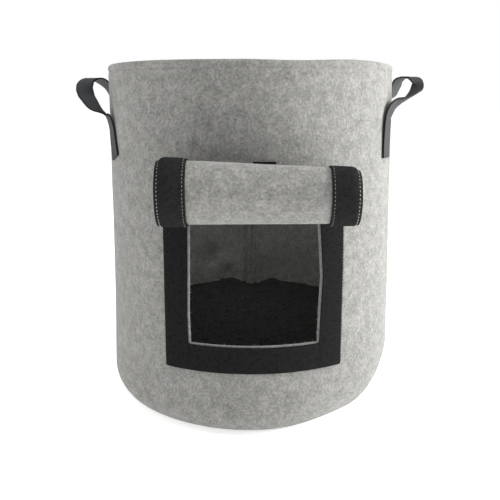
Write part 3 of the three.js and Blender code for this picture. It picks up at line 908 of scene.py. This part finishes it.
def handle_places(shape):
    """A handle's middle line from its front foot to its rear one: an angle from the bag's side, a
    height, a distance outside the wall, a turn of the webbing's width and a share of that width."""
    def half_angle(share):
        return math.degrees(STRAP_SPREAD * share / 2 / (RIM_DIAMETER / 2))

    seat = SEWN_GAP + STRAP / 2
    foot = BAG_HEIGHT - STRAP_FOOT_DROP
    legs = []
    for share, ease in ((0, 0), (0.45, 0), (0.85, STRAP_EASE)):
        forward = half_angle(mix(shape["feet"], shape["tops"], share))
        legs.append((forward, foot + share * STRAP_LEG_LENGTH, seat + ease, 0, 1))
    free = []
    for row in shape["loop"]:
        z = foot + STRAP_LEG_LENGTH + row["rise"] * LOOP_RISE
        free.append((row["forward"] * half_angle(shape["tops"]), z,
                     seat + row["out"] * LOOP_REACH, row["turn"], row["wide"]))
    rear = [(-forward, z, out, 180, 1) for forward, z, out, _, _ in reversed(legs)]
    return legs + free + rear


def curve_point(points, at):
    """A point of a smooth curve through points, at a place counted in spans."""
    span = min(len(points) - 2, int(at))
    share = at - span
    p1, p2 = points[span], points[span + 1]
    p0 = points[span - 1] if span else 2 * p1 - p2
    p3 = points[span + 2] if span + 2 < len(points) else 2 * p2 - p1
    d0, d1, d2 = (max(1e-6, (b - a).length ** 0.5) for a, b in ((p0, p1), (p1, p2), (p2, p3)))
    m1 = ((p1 - p0) / d0 - (p2 - p0) / (d0 + d1) + (p2 - p1) / d1) * d1
    m2 = ((p2 - p1) / d1 - (p3 - p1) / (d1 + d2) + (p3 - p2) / d2) * d1
    square, cube = share * share, share ** 3
    return (p1 * (2 * cube - 3 * square + 1) + m1 * (cube - 2 * square + share)
            + p2 * (3 * square - 2 * cube) + m2 * (cube - square))


def strap_frame(shape, places, points, at):
    """The strap's middle, and the direction across it, as long as half its width."""
    span = min(len(places) - 2, int(at))
    forward, _, _, turn, wide = (mix(low, high, at - span)
                                 for low, high in zip(places[span], places[span + 1]))
    turn = math.radians(turn)
    angle = math.radians(shape["side"] * (90 - forward))
    outward = Vector((math.sin(angle), -math.cos(angle), 0))
    rearward = Vector((math.cos(angle), math.sin(angle), 0)) * shape["side"]
    low, high = max(0, at - 0.3), min(len(points) - 1, at + 0.3)
    along = (curve_point(points, high) - curve_point(points, low)).normalized()
    across = rearward * math.cos(turn) - outward * math.sin(turn)
    across = (across - along * across.dot(along)).normalized()
    return curve_point(points, at), across * wide * STRAP_WIDTH / 2


def make_handle(shape):
    places = handle_places(shape)
    points = [wall_point(shape["side"] * (90 - place[0]), place[1], place[2]) for place in places]
    spans = len(places) - 1
    piece = add_grid(shape["name"] + "_strap", 10, spans * 8)
    length = sum((b - a).length for a, b in zip(points, points[1:]))

    def place(across_share, up):
        middle, across = strap_frame(shape, places, points, up * spans)
        return middle + across * (2 * across_share - 1)

    bend(piece, place, STRAP_WIDTH, length)
    thicken(piece, STRAP, False)
    finish_piece(piece, webbing, [shape["name"]])


# The soil

def soil_height(x, y):
    """The surface's height at a place given as shares of its radius."""
    height = FELT + SEWN_GAP + SOIL_DEPTH
    for lump in LUMP_TABLE:
        turn = math.radians(lump["angle"])
        dx = x - lump["reach"] * math.sin(turn)
        dy = y + lump["reach"] * math.cos(turn)
        height += lump["height"] * LUMP_HEIGHT * bell(math.hypot(dx, dy) / lump["spread"])
    return height


def inner_radius(angle, z):
    """How far the soil may reach at a height, inside the wall and its rounded foot."""
    radius, centre = foot_corner(angle)
    if z >= radius:
        return wall_radius(angle, z) - FELT - SEWN_GAP
    inner = radius - FELT - SEWN_GAP
    return centre + math.sqrt(max(0.0, inner * inner - (radius - z) ** 2))


def soil_point(x, y):
    angle = math.degrees(math.atan2(x, -y))
    reach = min(1.0, math.hypot(x, y))
    z = soil_height(x, y)
    clods = noise.fractal(Vector((x, y, 0.3)) * 9, 0.7, 2.1, 4)
    grains = noise.fractal(Vector((x, y, 4.3)) * 40, 0.8, 2.1, 4)
    z += CLOD_HEIGHT * clods + GRAIN_HEIGHT * grains
    radius = wall_radius(angle, z) - FELT - SEWN_GAP
    if abs(turn_between(180, angle)) < SEAM_CLEAR_ANGLE:
        radius -= FELT
    return around(angle, reach * radius, z)


def make_soil():
    piece = add_grid("soil_surface", 190, 190)

    def place(across, up):
        u, v = 2 * across - 1, 2 * up - 1
        return soil_point(u * math.sqrt(1 - v * v / 2), v * math.sqrt(1 - u * u / 2))

    bend(piece, place, BASE_DIAMETER, BASE_DIAMETER)
    top = len(piece.data.vertices)
    select_only(piece)
    bpy.ops.object.mode_set(mode="EDIT")
    bpy.ops.mesh.select_mode(type="EDGE")
    bpy.ops.mesh.select_all(action="DESELECT")
    bpy.ops.mesh.select_non_manifold()
    for _ in SOIL_SIDE:
        bpy.ops.mesh.extrude_region_move(TRANSFORM_OT_translate={"value": (0, 0, -0.001)})
    bpy.ops.mesh.edge_face_add()
    bpy.ops.object.mode_set(mode="OBJECT")
    rim = (len(piece.data.vertices) - top) // len(SOIL_SIDE)
    for index, corner in enumerate(piece.data.vertices[top:]):
        angle = math.degrees(math.atan2(corner.co.x, -corner.co.y))
        z = SOIL_SIDE[index // rim]
        corner.co = around(angle, inner_radius(angle, z) - 0.0004, z)
    select_only(piece)
    bpy.ops.object.mode_set(mode="EDIT")
    bpy.ops.mesh.select_all(action="SELECT")
    bpy.ops.mesh.normals_make_consistent(inside=False)
    bpy.ops.object.mode_set(mode="OBJECT")
    finish_piece(piece, soil, ["soil_bed"], 80)


def make_crumbs():
    """Loose crumbs that lie on the soil."""
    bpy.ops.mesh.primitive_ico_sphere_add(subdivisions=1, radius=1)
    form = bpy.context.object
    for corner in form.data.vertices:
        corner.co *= 1 + 0.45 * noise.noise(corner.co * 1.3)
    chance = random.Random(11)
    placings = []
    for _ in range(CRUMB_COUNT):
        reach = math.sqrt(chance.random()) * 0.97
        turn = chance.uniform(0, 2 * math.pi)
        point = soil_point(reach * math.sin(turn), -reach * math.cos(turn))
        size = 0.0004 + 0.0010 * chance.random() ** 3
        spin = Quaternion([chance.gauss(0, 1) for _ in range(4)])
        width, depth = size * chance.uniform(0.6, 1), size * chance.uniform(0.5, 1)
        scale = Matrix.Diagonal((size, width, depth, 1))
        placings.append(Matrix.Translation(point + Vector((0, 0, size * 0.3)))
                        @ spin.normalized().to_matrix().to_4x4() @ scale)
    finish_piece(many("soil_crumbs", form, placings), soil, (), 80)


# Stitches

def stitch_form():
    """One stitch along X, a short length of thread whose ends dip into the cloth."""
    bpy.ops.object.select_all(action="DESELECT")
    bpy.ops.mesh.primitive_cylinder_add(vertices=6, radius=THREAD / 2, depth=STITCH_LENGTH,
                                        rotation=(0, math.pi / 2, 0))
    form = bpy.context.object
    bpy.ops.object.transform_apply(location=True, rotation=True, scale=True)
    bpy.ops.object.mode_set(mode="EDIT")
    bpy.ops.mesh.select_all(action="SELECT")
    for share in (-0.32, -0.16, 0, 0.16, 0.32):
        bpy.ops.mesh.bisect(plane_co=(share * STITCH_LENGTH, 0, 0), plane_no=(1, 0, 0))
        bpy.ops.mesh.select_all(action="SELECT")
    bpy.ops.object.mode_set(mode="OBJECT")
    for corner in form.data.vertices:
        share = abs(corner.co.x) / (STITCH_LENGTH / 2)
        taper = math.sqrt(max(0.06, 1 - share ** 4))
        corner.co.y *= taper
        corner.co.z = corner.co.z * taper - THREAD * 0.75 * share ** 2
    return form


def stitch_row(point_at, length, pitch=STITCH_PITCH):
    """Matrices for stitches along a line: point_at gives a point and the cloth's outward normal."""
    count = max(1, round(length / pitch))
    placings = []
    for index in range(count):
        middle = (index + 0.5) / count
        here, normal = point_at(middle)
        before, _ = point_at(middle - 0.3 / count)
        after, _ = point_at(middle + 0.3 / count)
        along = (after - before).normalized()
        side = normal.cross(along).normalized()
        turned = Matrix((along, side, along.cross(side))).transposed().to_4x4()
        placings.append(Matrix.Translation(here) @ turned)
    return placings


def wall_line(start, end, outside):
    """A line on the wall between two places given as distance along it and height."""
    def point_at(share):
        along, z = mix(start[0], end[0], share), mix(start[1], end[1], share)
        point = wall_place(along, z, outside)
        return point, Vector((point.x, point.y, 0)).normalized()

    length = math.hypot(end[0] - start[0], end[1] - start[1])
    return stitch_row(point_at, length)


def rolled_line(x, start, end, distance):
    def point_at(share):
        along = mix(start, end, share)
        point = rolled(x, along, distance)
        return point, (rolled(x, along, distance + 0.001) - point).normalized()

    return stitch_row(point_at, end - start)


def make_flap_stitches():
    surface = FELT / 2 + SEWN_GAP + TAPE + 3 * THREAD_LIFT
    start, end = SIDE_TAPE_START + ROW_END, FLAP_LENGTH - ROW_END
    outer = []
    inner = []
    for edge, inwards in ((FLAP_LEFT, 1), (FLAP_RIGHT, -1)):
        outer += rolled_line(edge + inwards * STITCH_INSET, start, end, surface)
        inner += rolled_line(edge + inwards * (TAPE_WIDTH - STITCH_INSET), start, end, surface)
    finish_piece(many("flap_outer_stitches", stitch_form(), outer), white_thread)
    finish_piece(many("flap_inner_stitches", stitch_form(), inner), grey_thread)


def make_frame_stitches():
    surface = SEWN_GAP + TAPE + THREAD_LIFT
    low, high = FRAME_FOOT + STITCH_INSET, WINDOW_TOP - ROW_END
    placings = []
    sides = (window_left(0.15) - CUT_EDGE - TAPE_WIDTH, window_right(0.15) + CUT_EDGE)
    for left in sides:
        for x in (left + STITCH_INSET, left + TAPE_WIDTH - STITCH_INSET):
            placings += wall_line((x, low), (x, high), surface)
    ends = (window_left(SILL_HEIGHT), window_right(SILL_HEIGHT))
    for z in (low, SILL_HEIGHT - CUT_EDGE - STITCH_INSET):
        placings += wall_line((ends[0], z), (ends[1], z), surface)
    finish_piece(many("frame_stitches", stitch_form(), placings), black_thread)


def make_strap_stitches():
    """A box of black stitches on each of the handles' four sewn legs, which follows its slant."""
    surface = SEWN_GAP + STRAP + THREAD_LIFT
    low, high = STITCH_INSET / STRAP_LEG_LENGTH, STRAP_BOX_TOP
    placings = []

    def corner(shape, end, share, way):
        z = BAG_HEIGHT - STRAP_FOOT_DROP + share * STRAP_LEG_LENGTH
        forward = end * STRAP_SPREAD * mix(shape["feet"], shape["tops"], share) / RIM_DIAMETER
        along = shape["side"] * (math.pi / 2 - forward) * front_radius(round(z, 4))
        return along + way * (STRAP_WIDTH / 2 - STITCH_INSET), z

    for shape in HANDLE_TABLE:
        for end in (-1, 1):
            corners = [corner(shape, end, share, way)
                       for share, way in ((low, -1), (high, -1), (high, 1), (low, 1))]
            for start, stop in zip(corners, corners[1:] + corners[:1]):
                placings += wall_line(start, stop, surface)
    finish_piece(many("strap_stitches", stitch_form(), placings), black_thread)


def make_hem_stitches():
    def ring(depth_sign, depth):
        def point_at(share):
            angle = -179 + 358 * share
            z = rim_height(angle) - HEM_STITCH_DROP
            point = wall_point(angle, z, -depth)
            return point, Vector((point.x, point.y, 0)).normalized() * depth_sign

        return stitch_row(point_at, math.pi * RIM_DIAMETER, HEM_STITCH_PITCH)

    placings = ring(1, HEM_CREASE) + ring(-1, 2 * FELT + THREAD_LIFT)
    finish_piece(many("hem_stitches", stitch_form(), placings), grey_thread)


def fibre_form():
    """One loose felt fibre along Z, a thin bent cone one unit long."""
    bpy.ops.object.select_all(action="DESELECT")
    bpy.ops.mesh.primitive_cone_add(vertices=3, radius1=0.00010, radius2=0.00003, depth=1,
                                    location=(0, 0, 0.5))
    form = bpy.context.object
    bpy.ops.object.transform_apply(location=True, rotation=True, scale=True)
    bpy.ops.object.mode_set(mode="EDIT")
    for share in (0.25, 0.5, 0.75):
        bpy.ops.mesh.select_all(action="SELECT")
        bpy.ops.mesh.bisect(plane_co=(0, 0, share), plane_no=(0, 0, 1))
    bpy.ops.object.mode_set(mode="OBJECT")
    for corner in form.data.vertices:
        corner.co.x += 0.0004 * corner.co.z ** 2
    return form


def make_fibres():
    """Loose fibres: a quarter of them stand out of each side of the window, some fewer out of
    its sill, and the rest stand up from the rim."""
    chance = random.Random(5)
    placings = []
    for _ in range(FIBRE_COUNT):
        z = chance.uniform(SILL_HEIGHT, WINDOW_TOP - 0.02)
        share = chance.random()
        if share < 0.25:
            root, lean = wall_place(window_left(z), z, -FELT / 2), Vector((1, -0.3, 0))
        elif share < 0.5:
            root, lean = wall_place(window_right(z), z, -FELT / 2), Vector((-1, -0.3, 0))
        elif share < 0.65:
            along = chance.uniform(window_left(SILL_HEIGHT), window_right(SILL_HEIGHT))
            root, lean = wall_place(along, SILL_HEIGHT, -FELT / 2), Vector((0, -0.3, 1))
        else:
            angle = chance.uniform(-180, 180)
            root = wall_point(angle, rim_height(angle) - 0.0004, -FELT)
            lean = Vector((0, 0, 1))
        wild = Vector([chance.gauss(0, 0.9) for _ in range(3)])
        turned = (lean + wild).to_track_quat("Z", "Y").to_matrix().to_4x4()
        size = Matrix.Identity(4)
        length = chance.uniform(0.0008, 0.0026)
        size[0][2] = length * chance.uniform(-0.3, 0.3)
        size[2][2] = length
        placings.append(Matrix.Translation(root) @ turned @ size)
    finish_piece(many("loose_fibres", fibre_form(), placings), pale_fibre)


def make_seam_shadow_line():
    """A nearly unbroken row of dark stitches down the back seam's inner side, a painted shadow: it
    stands in for the shade along the seam.
    """
    low, high = SILL_HEIGHT, BAG_HEIGHT - HEM_DEPTH

    def point_at(share):
        z = mix(low, high, share)
        point = wall_point(SEAM_SHADOW_ANGLE, z, -2 * FELT - 2 * THREAD_LIFT)
        return point, -Vector((point.x, point.y, 0)).normalized()

    placings = stitch_row(point_at, high - low, STITCH_LENGTH * 1.05)
    finish_piece(many("seam_shadow_stitches", stitch_form(), placings), black_thread)


# The scene

def make_floor():
    bpy.ops.object.select_all(action="DESELECT")
    bpy.ops.mesh.primitive_plane_add(size=30)
    floor = bpy.context.object
    floor.name = "floor"
    material, shader = new_material("pale_floor", grey(0.86), 0.8)
    tint = add_noise(material, coordinates(material, "Object"), 3, 2)
    colour_by(material, shader, tint, [(0.3, grey(0.85)), (0.7, grey(0.87))])
    shader.inputs["Emission Color"].default_value = (1, 1, 1, 1)
    shader.inputs["Emission Strength"].default_value = FLOOR_GLOW
    floor.data.materials.append(material)


def add_area_light(name, place, target, size, power):
    light = bpy.data.lights.new(name, "AREA")
    light.size = size
    light.energy = power
    lamp = bpy.data.objects.new(name, light)
    lamp.location = place
    lamp.rotation_euler = (Vector(target) - Vector(place)).to_track_quat("-Z", "Y").to_euler()
    bpy.context.scene.collection.objects.link(lamp)


def make_light():
    """A white studio: pale all round, brighter from the right, with a soft lamp there."""
    world = bpy.data.worlds.new("studio")
    bpy.context.scene.world = world
    world.use_nodes = True
    nodes, links = world.node_tree.nodes, world.node_tree.links
    nodes.clear()
    seen = nodes.new("ShaderNodeBackground")
    seen.inputs["Color"].default_value = (1, 1, 1, 1)
    seen.inputs["Strength"].default_value = 1.0
    lit = nodes.new("ShaderNodeBackground")
    lit.inputs["Strength"].default_value = WORLD_LIGHT
    path = nodes.new("ShaderNodeLightPath")
    blend = nodes.new("ShaderNodeMixShader")
    output = nodes.new("ShaderNodeOutputWorld")
    links.new(path.outputs["Is Camera Ray"], blend.inputs["Fac"])
    links.new(lit.outputs["Background"], blend.inputs[1])
    links.new(seen.outputs["Background"], blend.inputs[2])
    links.new(blend.outputs["Shader"], output.inputs["Surface"])
    add_area_light("right_lamp", (1.7, -0.12, 0.75), (0, 0, 0.17), 0.9, 52)
    add_area_light("left_lamp", (-1.6, 0.25, 0.7), (0, 0, 0.25), 0.9, 9)
    add_area_light("top_lamp", (0.1, -0.3, 1.9), (0, 0, 0), 1.4, 16)


def make_camera():
    """The photo's view: from the front at the height of the handles, looking a little down."""
    camera = bpy.data.cameras.new("camera")
    camera.lens = CAMERA_LENS
    camera.sensor_width = 36
    viewer = bpy.data.objects.new("camera", camera)
    viewer.location = CAMERA_PLACE
    viewer.rotation_euler = (math.radians(90 - CAMERA_PITCH), 0, 0)
    bpy.context.scene.collection.objects.link(viewer)
    bpy.context.scene.camera = viewer


make_camera()
make_wall()
make_base()
make_frame()
make_flap()
make_flap_tapes()
make_keeper()
for handle in HANDLE_TABLE:
    make_handle(handle)
make_soil()
make_crumbs()
make_flap_stitches()
make_frame_stitches()
make_strap_stitches()
make_hem_stitches()
make_fibres()
make_seam_shadow_line()
make_floor()
make_light()
bpy.context.scene.view_settings.view_transform = "Standard"
